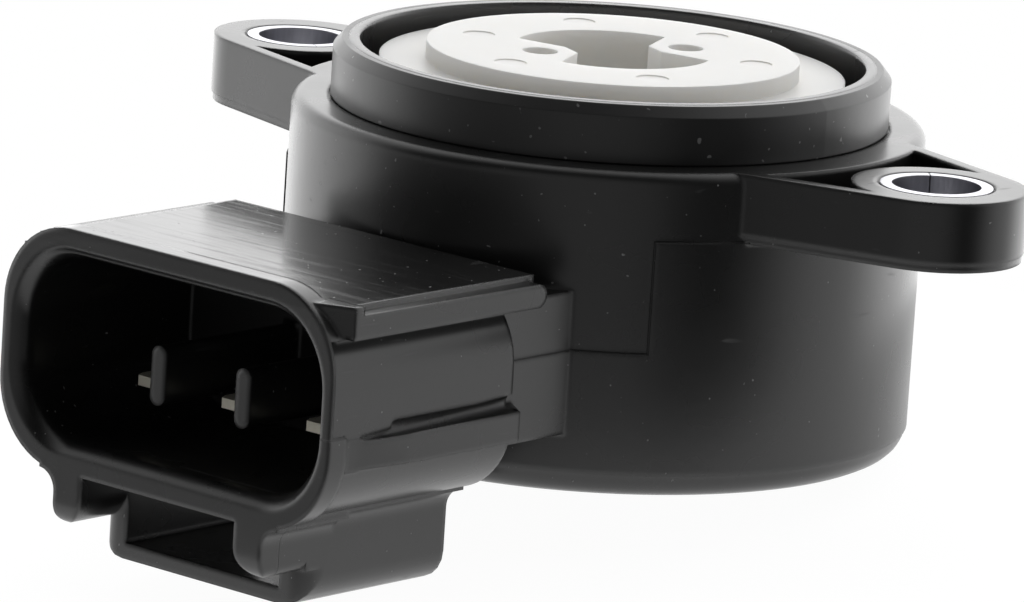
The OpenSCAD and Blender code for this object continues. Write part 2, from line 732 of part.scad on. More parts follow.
// The coil, with a lower leg beside the stop post and an upper leg in the flange's slot
module return_spring() {
    low = -floor_z + wire_d / 2 + 0.15;
    high = flange_low_z - wire_d / 2 - 0.3;
    per_turn = 24;
    n = round(spring_turns * per_turn);
    function at(deg, r, z) = [r * cos(deg), r * sin(deg), z];
    lower_leg = [at(spring_start_deg + 2, skirt_r + 2, low), at(spring_start_deg, spring_r + 1.5, low)];
    coil = [for (i = [0 : n])
        at(spring_start_deg + 6 + (360 * spring_turns - 6) * i / n, spring_r, low + (high - low) * i / n)];
    upper_leg = [for (i = [1, 2]) at(spring_end_deg + 5 * i, spring_r, high + [0.45, 1.1][i - 1])];
    color([0.6, 0.6, 0.64]) wire(concat(lower_leg, coil, upper_leg), wire_d);
}

module wiper_carrier() {
    color([0.2, 0.2, 0.22]) difference() {
        disc(carrier_r, -carrier_low_z, -carrier_top_z);
        difference() {
            disc(journal_r + key_gap, -carrier_low_z - 1, -carrier_top_z + 1);
            key_sides(key_flat + key_gap, -carrier_low_z - 2, -carrier_top_z + 2);
        }
    }
}

// A stamped leaf with fingers that slide on the two tracks
module wiper_leaf() {
    drop = wiper_room - track_t - wiper_gap;
    strip_w = 2;
    strip_y = strip_w / 2;
    finger_w = track_w / 5;
    run = 3.5 * wiper_room;
    shoe = 0.4;
    color([0.85, 0.72, 0.4]) translate([0, 0, -carrier_low_z]) rotate([0, 0, wiper_at_deg]) {
        translate([collector_r - track_w / 2, strip_y, -leaf_t])
            cube([resistor_r - collector_r + track_w, strip_w, leaf_t]);
        for (r = [collector_r, resistor_r], k = [-1, 0, 1])
            translate([r + k * track_w / 3 - finger_w / 2, strip_y + eps, 0])
                rotate([90, 0, 90]) linear_extrude(finger_w)
                    polygon([[0, 0], [-run, 0.35 - drop], [-run - shoe, leaf_t - drop], [-run - shoe, -drop],
                             [-run + 0.1, 0.16 - drop], [0, -leaf_t]]);
    }
}

module resistor_board() {
    color([0.16, 0.33, 0.2]) difference() {
        ring(board_hole_r, board_r, -board_low_z, -board_top_z);
        for (i = [-1, 0, 1]) eyelet_hole(i * terminal_pitch);
    }
}

// A lead of ink from a track to a terminal's pad
module pad_lead(x, from_y) {
    translate([x - track_w / 2, -eyelet_y - 1]) square([track_w, eyelet_y + 1 - from_y]);
}

// An open arc of resistive ink with a lead to each outer pad
module resistor_track() {
    color([0.12, 0.12, 0.13]) difference() {
        translate([0, 0, -board_top_z]) linear_extrude(track_t) {
            sector(resistor_r - track_w / 2, resistor_r + track_w / 2, 90, 360 - resistor_gap_deg);
            for (side = [-1, 1]) pad_lead(side * terminal_pitch, resistor_r * cos(resistor_gap_deg / 2));
        }
        for (side = [-1, 1]) eyelet_hole(side * terminal_pitch);
    }
}

// A full ring of conductive ink with a lead to the middle pad
module collector_track() {
    color([0.7, 0.7, 0.68]) difference() {
        translate([0, 0, -board_top_z]) linear_extrude(track_t) {
            difference() {
                circle(collector_r + track_w / 2);
                circle(collector_r - track_w / 2);
            }
            pad_lead(0, collector_r + track_w / 4);
        }
        eyelet_hole(0);
    }
}

module terminal(x) {
    color([0.86, 0.8, 0.62]) difference() {
        terminal_strip(x);
        eyelet_hole(x);
    }
}

// A hollow eyelet that rivets a terminal to its pad on the board
module board_eyelet(x) {
    top = -board_top_z + track_t + terminal_t;
    bore_r = eyelet_r - 0.25;
    rim_t = 0.2;
    color([0.8, 0.76, 0.6]) translate([x, -eyelet_y, 0]) {
        ring(bore_r, eyelet_r, -board_low_z - rim_t, top + rim_t);
        ring(bore_r, eyelet_r + eyelet_lip, top, top + rim_t);
        ring(bore_r, eyelet_r + eyelet_lip, -board_low_z - rim_t, -board_low_z);
    }
}

module rear_cover() {
    color([0.1, 0.1, 0.11]) difference() {
        union() {
            disc(cover_r, -cover_low_z, -cover_top_z);
            ring(chamber_r, cover_r - clear, -cover_top_z - eps, -board_low_z);
        }
        ring(cover_r - sealant_w, cover_r + 1, -cover_low_z - 1, -cover_low_z + sealant_w);
    }
}

// A bead of sealant in the moat between the cover and the cup
module cover_sealant() {
    color([0.14, 0.14, 0.15])
        ring(cover_r - sealant_w, cover_seat_r, -cover_low_z, -cover_low_z + sealant_w);
}

housing();
seal_ring();
ear_bush(1, 137);  // ear_bush_right
ear_bush(-1, -30);  // ear_bush_left
rotor();
bearing_bush();
thrust_washer();
retaining_ring();
return_spring();
wiper_carrier();
wiper_leaf();
resistor_board();
resistor_track();
collector_track();
terminal(-terminal_pitch);  // terminal_supply
terminal(0);  // terminal_signal
terminal(terminal_pitch);  // terminal_ground
board_eyelet(-terminal_pitch);  // board_eyelet_supply
board_eyelet(0);  // board_eyelet_signal
board_eyelet(terminal_pitch);  // board_eyelet_ground
rear_cover();
cover_sealant();
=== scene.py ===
import math

import bpy
from mathutils import Matrix, Vector


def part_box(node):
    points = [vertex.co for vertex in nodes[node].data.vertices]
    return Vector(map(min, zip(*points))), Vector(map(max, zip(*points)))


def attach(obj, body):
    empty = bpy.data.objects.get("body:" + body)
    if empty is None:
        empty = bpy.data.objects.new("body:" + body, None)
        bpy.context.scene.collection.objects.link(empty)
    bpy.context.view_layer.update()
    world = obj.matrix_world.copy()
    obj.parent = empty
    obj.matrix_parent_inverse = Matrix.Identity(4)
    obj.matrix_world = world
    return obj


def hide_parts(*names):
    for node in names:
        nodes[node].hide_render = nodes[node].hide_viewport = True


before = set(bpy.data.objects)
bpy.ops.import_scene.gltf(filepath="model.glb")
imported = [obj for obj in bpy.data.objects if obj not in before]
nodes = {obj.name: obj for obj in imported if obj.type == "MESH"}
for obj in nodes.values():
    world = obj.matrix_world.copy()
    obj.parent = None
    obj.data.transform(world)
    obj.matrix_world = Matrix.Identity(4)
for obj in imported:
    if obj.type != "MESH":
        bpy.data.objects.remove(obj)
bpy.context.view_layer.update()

MM = 0.001

# The camera stands where the photo was taken from, off the connector's corner and a little
# above the mounting face. Its place was worked out from the circles and edges of the part.
CAMERA_AZIMUTH = math.radians(40.96)
CAMERA_ELEVATION = math.radians(12.38)
CAMERA_ROLL = math.radians(3.75)
CAMERA_DISTANCE = 563.3 * MM
FOCAL_PIXELS = 9000
PICTURE_WIDTH, PICTURE_HEIGHT = 1024, 602
ORIGIN_PIXEL = (609.3, 108.1)


def camera_axes():
    """The directions to the right of the camera, above it and behind it."""
    az, el, roll = CAMERA_AZIMUTH, CAMERA_ELEVATION, CAMERA_ROLL
    back = Vector((math.sin(az) * math.cos(el), -math.cos(az) * math.cos(el), math.sin(el)))
    right = Vector((math.cos(az), math.sin(az), 0))
    up = back.cross(right)
    return (math.cos(roll) * right + math.sin(roll) * up,
            math.cos(roll) * up - math.sin(roll) * right, back)


right, up, back = camera_axes()
aside = (ORIGIN_PIXEL[0] - PICTURE_WIDTH / 2) / FOCAL_PIXELS
above = -(ORIGIN_PIXEL[1] - PICTURE_HEIGHT / 2) / FOCAL_PIXELS
camera_data = bpy.data.cameras.new("camera")
camera = bpy.data.objects.new("camera", camera_data)
bpy.context.collection.objects.link(camera)
camera_data.sensor_width = 36
camera_data.lens = FOCAL_PIXELS / PICTURE_WIDTH * camera_data.sensor_width
camera_data.clip_start, camera_data.clip_end = 0.01, 10
place = (back - right * aside - up * above) * CAMERA_DISTANCE
camera.matrix_world = Matrix.Translation(place) @ Matrix((right, up, back)).transposed().to_4x4()
bpy.context.scene.camera = camera


# The housing is one moulding in black glass-filled plastic. Its skin is satin, with a faint
# orange peel, a few scuffs and specks of dust, and every edge is a little rounded.
class Value:
    """A shader socket that takes part in sums, such as 1 - mask * 0.5."""

    def __init__(self, paint, socket):
        self.paint, self.socket = paint, socket

    def sum(self, operation, *terms):
        return self.paint.add("ShaderNodeMath", {"operation": operation}, *terms)

    def __add__(self, other):
        return self.sum("ADD", self, other)

    def __sub__(self, other):
        return self.sum("SUBTRACT", self, other)

    def __rsub__(self, other):
        return self.sum("SUBTRACT", other, self)

    def __mul__(self, other):
        return self.sum("MULTIPLY", self, other)

    def above(self, low, high):
        """0 below low, 1 over high and smooth between them."""
        settings = {"interpolation_type": "SMOOTHSTEP"}
        return self.paint.add("ShaderNodeMapRange", settings, self, low, high, 0.0, 1.0)

    __radd__, __rmul__ = __add__, __mul__


class Paint:
    """The node tree of one material, or of the world."""

    def __init__(self, name, tree=None):
        if tree is None:
            self.material = bpy.data.materials.new(name)
            self.material.use_nodes = True
            tree = self.material.node_tree
        self.tree = tree
        tree.nodes.clear()

    def add(self, kind, settings=None, *terms, out=0, **named):
        """A node with its settings, then its sockets in order or by name."""
        node = self.tree.nodes.new(kind)
        for key, value in (settings or {}).items():
            setattr(node, key, value)
        sockets = list(zip(node.inputs, terms))
        sockets += [(node.inputs[key.replace("_", " ")], value) for key, value in named.items()]
        for socket, value in sockets:
            if isinstance(value, Value):
                self.tree.links.new(value.socket, socket)
            elif value is not None:
                socket.default_value = value
        return Value(self, node.outputs[out]) if node.outputs else None

    def where(self, scale=1.0, stretch=(1, 1, 1)):
        """The place on the piece, in its own coordinates, times a scale."""
        place = self.add("ShaderNodeTexCoord", out=3)
        size = tuple(scale * s for s in stretch)
        return self.add("ShaderNodeVectorMath", {"operation": "MULTIPLY"}, place, size)

    def along(self, axis):
        """The place on the piece along one axis, in metres."""
        return self.add("ShaderNodeSeparateXYZ", None, self.where(), out="XYZ".index(axis))

    def noise(self, size, detail, stretch=(1, 1, 1)):
        """Soft noise whose patches are about size across, in metres."""
        return self.add("ShaderNodeTexNoise", None, Vector=self.where(1 / size, stretch),
                        Scale=1.0, Detail=detail, Roughness=0.5)

    def mix(self, share, low, high):
        """A colour between two, by a share from 0 to 1."""
        node = self.tree.nodes.new("ShaderNodeMix")
        node.data_type = "RGBA"
        for at, value in ((0, share), (6, low), (7, high)):
            if isinstance(value, Value):
                self.tree.links.new(value.socket, node.inputs[at])
            else:
                node.inputs[at].default_value = value
        return Value(self, node.outputs[2])

    def bump(self, height, depth, normal):
        """A normal tilted by a height that varies from 0 to 1, depth metres deep."""
        return self.add("ShaderNodeBump", None, Height=height, Distance=depth, Strength=1.0,
                        Normal=normal)

    def rounded(self, radius):
        """A normal that makes each sharp edge look rounded."""
        return self.add("ShaderNodeBevel", {"samples": 6}, radius)

    def surface(self, **sockets):
        """A Principled surface as the material's output."""
        shader = self.add("ShaderNodeBsdfPrincipled", None, **sockets)
        self.add("ShaderNodeOutputMaterial", None, shader)
        return self.material


def grey(level):
    """A neutral colour."""
    return (level, level, level, 1.0)


def dress(material, *names):
    """Gives CAD nodes a material."""
    for name in names:
        mesh = nodes[name].data
        mesh.materials.clear()
        mesh.materials.append(material)


CUP_R = 19.9 * MM
ROOF_Z, ROOF_BACK_Y = -5.85 * MM, -20.5 * MM
SIDE_X = 13 * MM
MOULD_LINE_W = 0.07 * MM
MOULD_LOW_Z, MOULD_HIGH_Z = -11.2 * MM, -4.2 * MM
MOULD_STEP_TURN, MOULD_STEP_FADE = math.radians(-40), 0.003
RIM_SEAM_Y, RIM_LEDGE_Z = -37.6 * MM, -13.45 * MM


def mould_line(paint):
    """The fine line that the mould's halves leave on the cup and behind the mouth's rim. It is
    bumped in as a groove and darkened with painted shade.
    """
    x, y, z = (paint.along(axis) for axis in "XYZ")
    turn = paint.add("ShaderNodeMath", {"operation": "ARCTAN2"}, y, x)
    out = paint.add("ShaderNodeMath", {"operation": "SQRT"}, x * x + y * y)
    thin, fade = MOULD_LINE_W, 0.1 * MM

    def near(value, at, width):
        off = paint.add("ShaderNodeMath", {"operation": "ABSOLUTE"}, value - at)
        return 1 - off.above(width * 0.4, width)

    beside = turn.above(MOULD_STEP_TURN - MOULD_STEP_FADE, MOULD_STEP_TURN)
    above_low = z.above(MOULD_LOW_Z - thin, MOULD_LOW_Z)
    below_high = (0 - z).above(-MOULD_HIGH_Z - thin, -MOULD_HIGH_Z)
    level = near(z, MOULD_LOW_Z, thin) * (1 - beside) + near(z, MOULD_HIGH_Z, thin) * beside
    upright = near(turn, MOULD_STEP_TURN, thin / CUP_R) * above_low * below_high
    past_cup = out.above(CUP_R + 3 * fade, CUP_R + 4 * fade)
    on_cup = (0 - y).above(0, fade) * out.above(CUP_R - 6 * fade, CUP_R - 5 * fade) * (1 - past_cup)
    rim = near(y, RIM_SEAM_Y, thin) * (1 - z.above(RIM_LEDGE_Z, RIM_LEDGE_Z + thin))
    on_side = (1 - y.above(RIM_SEAM_Y, RIM_SEAM_Y + thin)) * x.above(SIDE_X - fade, SIDE_X)
    ledge = near(z, RIM_LEDGE_Z, thin) * on_side
    return (((level + upright) * on_cup + rim + ledge) * x.above(0, fade)).above(0, 0.9)


def black_plastic():
    """Satin black moulding with dust, faint scuffs and rounded edges."""
    paint = Paint("black_plastic")
    peel = paint.noise(0.9 * MM, 3.0)
    patches = paint.noise(6 * MM, 3.0)
    dust = paint.noise(0.26 * MM, 0.0).above(0.85, 0.88)
    scuffs = paint.noise(1.1 * MM, 1.0, stretch=(1, 0.25, 2.2)).above(0.70, 0.76)
    scuffs = scuffs * patches.above(0.5, 0.6)
    shade = paint.mix(patches, grey(0.011), grey(0.016))
    shade = paint.mix(scuffs * 0.25, shade, grey(0.10))
    shade = paint.mix(dust * 0.6, shade, grey(0.42))
    roof = paint.along("Z").above(ROOF_Z - 0.1 * MM, ROOF_Z - 0.05 * MM)
    roof = roof * (0 - paint.along("Y")).above(-ROOF_BACK_Y - 0.1 * MM, -ROOF_BACK_Y)
    streaks = paint.noise(0.5 * MM, 2.0, stretch=(0.08, 1, 1))
    rubbed = roof * streaks.above(0.45, 0.75)
    gloss = 0.24 + patches * 0.08 + scuffs * 0.15 + dust * 0.3 - roof * 0.13 + rubbed * 0.10
    height = peel * (1 - roof * 0.6) + rubbed * 0.5
    seam_and_painted_shade = mould_line(paint)
    # The mould line's groove is a real bump; its near-black colour is painted shade of that groove.
    shade = paint.mix(seam_and_painted_shade * 0.8, shade, grey(0.001))
    normal = paint.bump(height, 0.004 * MM, paint.rounded(0.45 * MM))
    normal = paint.bump(1 - seam_and_painted_shade, 0.06 * MM, normal)
    return paint.surface(Base_Color=shade, Roughness=gloss, IOR=1.62, Normal=normal)


plastic = black_plastic()
dress(plastic, "housing", "rear_cover")


# The mould's inserts leave soft forms on the connector, in the same black plastic: a flare
# round the mouth, round toes and dividers, a filled corner and a shoulder on the rim, and
# tapered fins with scoops over them. A copy of the housing's solid is cut to have them.
MOUTH_Y, RIM_BACK_Y = -39.25 * MM, -37.65 * MM
SOCKET_HALF_W, SOCKET_CORNER, CORNER_STEPS = 12.1 * MM, 4.4 * MM, 16
SOCKET_LOW_Z, SOCKET_TOP_Z = -17.95 * MM, -6.65 * MM
FLARE_INSET, FLARE_DEPTH, FLARE_GROWTH, FLARE_STEPS = 0.05 * MM, 2.2 * MM, 0.8 * MM, 8
RIM_CORNER, RIM_CORNER_X, RIM_CORNER_Z = 5.2 * MM, 8.4 * MM, -10 * MM
FILL_FROM_X, FILL_TO_X, FILL_HEIGHT, FILL_GAP = 11.4 * MM, 14 * MM, 5 * MM, 0.1 * MM
RAIL_LOW_Z, LIP = -7.6 * MM, 0.35 * MM
SHOULDER_FROM_X, SHOULDER_TO_X, SHOULDER_TOP_Z = 10.8 * MM, 13.65 * MM, -5.6 * MM
SHOULDER_SINK, SHOULDER_REACH = 0.05 * MM, 0.8 * MM
LEFT_RAIL_FROM_X, LEFT_RAIL_TO_X, LEFT_RAIL_END_Y = -14.5 * MM, -12.45 * MM, -35.2 * MM
LEFT_RAIL_CUT_Z, LEFT_RAIL_OVER_Z = -6.7 * MM, -5 * MM
FIN_HALF_W, FIN_TOP_Z, FIN_LOW_Z = 13.95 * MM, -13.75 * MM, -15.6 * MM
FIN_ROOT_X, FIN_ROOT_Y, BELLY_HALF_W = 12.5 * MM, -36.3 * MM, 13.45 * MM
ROOT_PAST_RIM, ROOT_PAST_LOW, ROOT_PAST_TOP = 0.05 * MM, 0.1 * MM, 0.05 * MM
FIN_TAPER, FIN_TAPER_Y, FIN_TAPER_LENGTH = math.radians(6.3), -32.5 * MM, 4.9 * MM
TAPER_PAST = 0.2 * MM
SCOOP_R, SCOOP_X, SCOOP_Z = 0.55 * MM, 13.35 * MM, -13.3 * MM
SCOOP_FRONT_Y, SCOOP_BACK_Y = -36.2 * MM, -22.4 * MM
SCOOP_END, SCOOP_POINT_ASIDE, SCOOP_POINT_FLAT = 0.1 * MM, 0.45, 0.2
FOOT_LOW_Z, FOOT_SIDE, FOOT_SIDE_R = -23.05 * MM, 8.6 * MM, 0.7 * MM
FOOT_MIDDLE_Y, FOOT_BACK_Y, FOOT_ROD = -37 * MM, -35.1 * MM, 20 * MM
TOE_RISE, TOE_RUN = 1.4 * MM, 1.2 * MM
DIVIDER_X, DIVIDER_HALF_T, DIVIDER_HALF_H = 3.5 * MM, 0.575 * MM, 1.85 * MM
DIVIDER_Z, DIVIDER_FRONT_Y, DIVIDER_BACK_Y = -13.3 * MM, -37 * MM, -24.5 * MM
DIVIDER_REACH, DIVIDER_PAST, DIVIDER_ROUND, DIVIDER_STEPS = 2.6 * MM, 1.5 * MM, 0.98, 8
SPARE = 1 * MM


def pick(piece):
    """Selects a piece and nothing else, and makes it the active one."""
    bpy.ops.object.select_all(action="DESELECT")
    piece.select_set(True)
    bpy.context.view_layer.objects.active = piece


def weld(piece, within):
    """Merges the corners of a mesh that lie within a distance of each other."""
    pick(piece)
    bpy.ops.object.mode_set(mode="EDIT")
    bpy.ops.mesh.select_all(action="SELECT")
    bpy.ops.mesh.remove_doubles(threshold=within)
    bpy.ops.object.mode_set(mode="OBJECT")


def solid_block(corner, opposite):
    """A block between two opposite corners."""
    bpy.ops.object.select_all(action="DESELECT")
    middle = [(a + b) / 2 for a, b in zip(corner, opposite)]
    sides = [abs(b - a) for a, b in zip(corner, opposite)]
    bpy.ops.mesh.primitive_cube_add(size=1, location=middle, scale=sides)
    bpy.ops.object.transform_apply(location=True, rotation=True, scale=True)
    return bpy.context.object


def solid_rod(axis, radius, middle, length, squash=(1, 1, 1)):
    """A rod along X or Y, with its place in its mesh."""
    bpy.ops.object.select_all(action="DESELECT")
    turn = (0, math.pi / 2, 0) if axis == "X" else (math.pi / 2, 0, 0)
    bpy.ops.mesh.primitive_cylinder_add(vertices=64, radius=radius, depth=length, rotation=turn)
    bpy.ops.object.transform_apply(location=True, rotation=True, scale=True)
    rod = bpy.context.object
    rod.scale, rod.location = squash, middle
    bpy.ops.object.transform_apply(location=True, rotation=True, scale=True)
    return rod


def carve(piece, shape, operation="DIFFERENCE"):
    """Cuts a shape from a piece, joins it on or keeps what they share. The shape is used up."""
    cut = piece.modifiers.new("cut", "BOOLEAN")
    cut.operation, cut.solver, cut.object = operation, "EXACT", shape
    bpy.context.view_layer.objects.active = piece
    bpy.ops.object.modifier_apply(modifier="cut")
    bpy.data.objects.remove(shape)


def choose(piece, kind, wanted):
    """Selects the edges or faces of a piece for which wanted is true."""
    pick(piece)
    bpy.ops.object.mode_set(mode="EDIT")
    bpy.ops.mesh.select_mode(type=kind)
    bpy.ops.mesh.select_all(action="DESELECT")
    bpy.ops.object.mode_set(mode="OBJECT")
    for item in piece.data.edges if kind == "EDGE" else piece.data.polygons:
        item.select = wanted(item)
    bpy.ops.object.mode_set(mode="EDIT")


def round_long_edges(piece, radius, steps):
    """Rounds the edges of a block that run along Y."""
    places = [v.co.copy() for v in piece.data.vertices]

    def runs_along_y(edge):
        a, b = (places[i] for i in edge.vertices)
        return abs(a.x - b.x) < 1e-6 and abs(a.z - b.z) < 1e-6

    choose(piece, "EDGE", runs_along_y)
    bpy.ops.mesh.bevel(offset=radius, segments=steps, affect="EDGES")
    bpy.ops.object.mode_set(mode="OBJECT")


def mouth_flare():
    """What the flare takes off the mouth, wider step by step towards the front."""
    start, half_w = MOUTH_Y + FLARE_DEPTH, SOCKET_HALF_W - FLARE_INSET
    half_h = (SOCKET_TOP_Z - SOCKET_LOW_Z) / 2 - FLARE_INSET
    middle_z = (SOCKET_LOW_Z + SOCKET_TOP_Z) / 2
    flare = solid_block((-half_w, start, SOCKET_LOW_Z + FLARE_INSET),
                        (half_w, start + SPARE, SOCKET_TOP_Z - FLARE_INSET))
    round_long_edges(flare, SOCKET_CORNER, CORNER_STEPS)
    choose(flare, "FACE", lambda face: face.normal.y < -0.99)
    grown, depth = 0, FLARE_DEPTH / FLARE_STEPS
    for step in range(1, FLARE_STEPS + 2):
        grow = FLARE_GROWTH * (step / FLARE_STEPS) ** 3
        bpy.ops.mesh.extrude_region_move(TRANSFORM_OT_translate={"value": (0, -depth, 0)})
        wider = ((half_w + grow) / (half_w + grown), 1, (half_h + grow) / (half_h + grown))
        bpy.ops.transform.resize(value=wider, center_override=(0, start - depth * step, middle_z))
        grown = grow
    bpy.ops.object.mode_set(mode="OBJECT")
    return flare


def rim_fill(side):
    """The rim's round corner, carried back to the front end of the rail."""
    middle = (side * RIM_CORNER_X, (MOUTH_Y + RIM_BACK_Y) / 2, RIM_CORNER_Z)
    fill = solid_rod("Y", RIM_CORNER, middle, RIM_BACK_Y - MOUTH_Y - FILL_GAP)
    outer = solid_block((side * FILL_FROM_X, MOUTH_Y - SPARE, RAIL_LOW_Z),
                        (side * FILL_TO_X, RIM_BACK_Y + SPARE, RAIL_LOW_Z + FILL_HEIGHT))
    carve(fill, outer, "INTERSECT")
    return fill


def rim_shoulder():
    """The shoulder between the rim and the right rail, whose outer end leans back."""
    shoulder = solid_block((SHOULDER_FROM_X, MOUTH_Y + LIP, RAIL_LOW_Z + SHOULDER_SINK),
                           (SHOULDER_TO_X, RIM_BACK_Y + SHOULDER_REACH, SHOULDER_TOP_Z))
    for vertex in shoulder.data.vertices:
        if vertex.co.y < RIM_BACK_Y:
            vertex.co.y = RIM_BACK_Y if vertex.co.x > FILL_FROM_X else MOUTH_Y + LIP
    return shoulder


def left_rail_end():
    """What is taken off the front top of the left rail, below the rim's round corner."""
    return solid_block((LEFT_RAIL_FROM_X, MOUTH_Y + LIP, LEFT_RAIL_CUT_Z),
                       (LEFT_RAIL_TO_X, LEFT_RAIL_END_Y, LEFT_RAIL_OVER_Z))


def fin_root(side):
    """The part of the fin that joins the back of the rim."""
    return solid_block((side * FIN_ROOT_X, RIM_BACK_Y - ROOT_PAST_RIM, FIN_LOW_Z - ROOT_PAST_LOW),
                       (side * BELLY_HALF_W, FIN_ROOT_Y, FIN_TOP_Z + ROOT_PAST_TOP))


def fin_taper(side):
    """What the long taper takes off the fin's front end."""
    taper = solid_block((0, -FIN_TAPER_LENGTH, FIN_LOW_Z - TAPER_PAST),
                        (SPARE, SPARE, FIN_TOP_Z + TAPER_PAST))
    taper.rotation_euler = (0, 0, -side * FIN_TAPER)
    taper.location = (side * FIN_HALF_W - (SPARE if side < 0 else 0), FIN_TAPER_Y, 0)
    bpy.ops.object.transform_apply(location=True, rotation=True, scale=True)
    return taper


def fin_scoop(side):
    """The scoop over the fin, which runs out to a point at its front."""
    middle = (side * SCOOP_X, (SCOOP_FRONT_Y + SCOOP_BACK_Y) / 2, SCOOP_Z)
    scoop = solid_rod("Y", SCOOP_R, middle, SCOOP_BACK_Y - SCOOP_FRONT_Y)
    for vertex in scoop.data.vertices:
        if vertex.co.y < SCOOP_FRONT_Y + SCOOP_END:
            vertex.co.x += side * SCOOP_POINT_ASIDE * SCOOP_R
            vertex.co.z = (vertex.co.z - SCOOP_Z) * SCOOP_POINT_FLAT + FIN_TOP_Z
    return scoop


def toe_rounding():
    """What the round toes take off both feet."""
    back_y, top_z = MOUTH_Y + TOE_RUN, FOOT_LOW_Z + TOE_RISE
    toes = solid_block((-FOOT_SIDE - SPARE, MOUTH_Y - SPARE, FOOT_LOW_Z - SPARE),
                       (FOOT_SIDE + SPARE, back_y, top_z))
    squash = (1, TOE_RUN / TOE_RISE, 1)
    carve(toes, solid_rod("X", TOE_RISE, (0, back_y, top_z), 4 * FOOT_SIDE, squash))
    return toes


def foot_corner(side):
    """What the round lower corner takes off the outer side of a foot."""
    inner, top_z = side * (FOOT_SIDE - FOOT_SIDE_R), FOOT_LOW_Z + FOOT_SIDE_R
    corner = solid_block((inner, MOUTH_Y - SPARE, FOOT_LOW_Z - SPARE),
                         (side * (FOOT_SIDE + SPARE), FOOT_BACK_Y, top_z))
    carve(corner, solid_rod("Y", FOOT_SIDE_R, (inner, FOOT_MIDDLE_Y, top_z), FOOT_ROD))
    return corner


def divider_ends(side):
    """What the round ends take off a divider, above and below it."""
    x = side * DIVIDER_X
    around = solid_block((x - SPARE, DIVIDER_FRONT_Y, DIVIDER_Z - DIVIDER_REACH),
                         (x + SPARE, DIVIDER_BACK_Y, DIVIDER_Z + DIVIDER_REACH))
    front_y, back_y = DIVIDER_FRONT_Y - SPARE, DIVIDER_BACK_Y + DIVIDER_PAST
    kept = solid_block((x - DIVIDER_HALF_T, front_y, DIVIDER_Z - DIVIDER_HALF_H),
                       (x + DIVIDER_HALF_T, back_y, DIVIDER_Z + DIVIDER_HALF_H))
    round_long_edges(kept, DIVIDER_HALF_T * DIVIDER_ROUND, DIVIDER_STEPS)
    carve(around, kept)
    return around


moulding = bpy.data.objects.new("housing_moulding", nodes["housing"].data.copy())
bpy.context.collection.objects.link(moulding)
weld(moulding, 0.0005 * MM)
bpy.ops.mesh.customdata_custom_splitnormals_clear()
for side in (-1, 1):
    carve(moulding, rim_fill(side), "UNION")
    if side > 0:
        carve(moulding, rim_shoulder(), "UNION")
    else:
        carve(moulding, left_rail_end())
    carve(moulding, fin_root(side), "UNION")
    carve(moulding, fin_taper(side))
    carve(moulding, fin_scoop(side))
carve(moulding, mouth_flare())
carve(moulding, toe_rounding())
for side in (-1, 1):
    carve(moulding, foot_corner(side))
    carve(moulding, divider_ends(side))
weld(moulding, 0.001 * MM)
moulding.data.materials.clear()
moulding.data.materials.append(plastic)
pick(moulding)
bpy.ops.object.shade_smooth_by_angle(angle=math.radians(30))
even = moulding.modifiers.new("even", "WEIGHTED_NORMAL")
even.mode, even.keep_sharp, even.weight = "FACE_AREA_WITH_ANGLE", True, 80
bpy.ops.object.modifier_apply(modifier="even")
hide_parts("housing")
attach(moulding, "housing")


# The seal ring is moulded in black rubber and sits round the spigot. It is smoother than
# the housing and a little softer in its shine.
def black_rubber():
    paint = Paint("black_rubber")
    patches = paint.noise(3 * MM, 3.0)
    dust = paint.noise(0.4 * MM, 0.0).above(0.80, 0.84)
    shade = paint.mix(dust * 0.5, paint.mix(patches, grey(0.010), grey(0.018)), grey(0.35))
    normal = paint.bump(paint.noise(0.5 * MM, 2.0), 0.002 * MM, paint.rounded(0.12 * MM))
    return paint.surface(Base_Color=shade, Roughness=0.30 + patches * 0.12, IOR=1.6, Normal=normal)


dress(black_rubber(), "seal_ring")


# The rotor is moulded in off-white plastic. Light gets a little way into it, and its top
# bears the faint marks of the mould.
def white_plastic():
    paint = Paint("white_plastic")
    patches = paint.noise(4 * MM, 3.0)
    shade = paint.mix(patches, (0.86, 0.85, 0.82, 1), (0.90, 0.89, 0.865, 1))
    normal = paint.bump(paint.noise(0.7 * MM, 2.0), 0.003 * MM, paint.rounded(0.15 * MM))
    return paint.surface(Base_Color=shade, Roughness=0.38 + patches * 0.08, IOR=1.48, Normal=normal,
                         Subsurface_Weight=0.6, Subsurface_Radius=(1.0, 0.95, 0.88),
                         Subsurface_Scale=2.5 * MM)


dress(white_plastic(), "rotor")


# The two bushes are rolled from steel strip, plated and pressed into the ears, where they
# take the screws' load. Their holes show the drawn grain.
def plated_steel():
    paint = Paint("plated_steel")
    grain = paint.noise(0.25 * MM, 3.0, stretch=(1, 1, 0.15))
    shade = paint.mix(grain, (0.42, 0.42, 0.45, 1), (0.60, 0.60, 0.64, 1))
    normal = paint.bump(grain, 0.004 * MM, paint.rounded(0.08 * MM))
    return paint.surface(Base_Color=shade, Metallic=1.0, Roughness=0.24 + grain * 0.14,
                         Normal=normal)


dress(plated_steel(), "ear_bush_right", "ear_bush_left")


# The three blades are stamped from brass strip and plated with dull tin, and so are the
# hollow rivets that join them to the board.
def tinned_brass():
    paint = Paint("tinned_brass")
    grain = paint.noise(0.3 * MM, 2.0, stretch=(1, 0.2, 1))
    shade = paint.mix(grain, (0.86, 0.82, 0.68, 1), (0.94, 0.91, 0.80, 1))
    normal = paint.bump(grain, 0.003 * MM, paint.rounded(0.06 * MM))
    return paint.surface(Base_Color=shade, Metallic=0.35, Roughness=0.45 + grain * 0.12,
                         Normal=normal)


tin = tinned_brass()
dress(tin, "terminal_supply", "terminal_signal", "terminal_ground",
      "board_eyelet_supply", "board_eyelet_signal", "board_eyelet_ground")


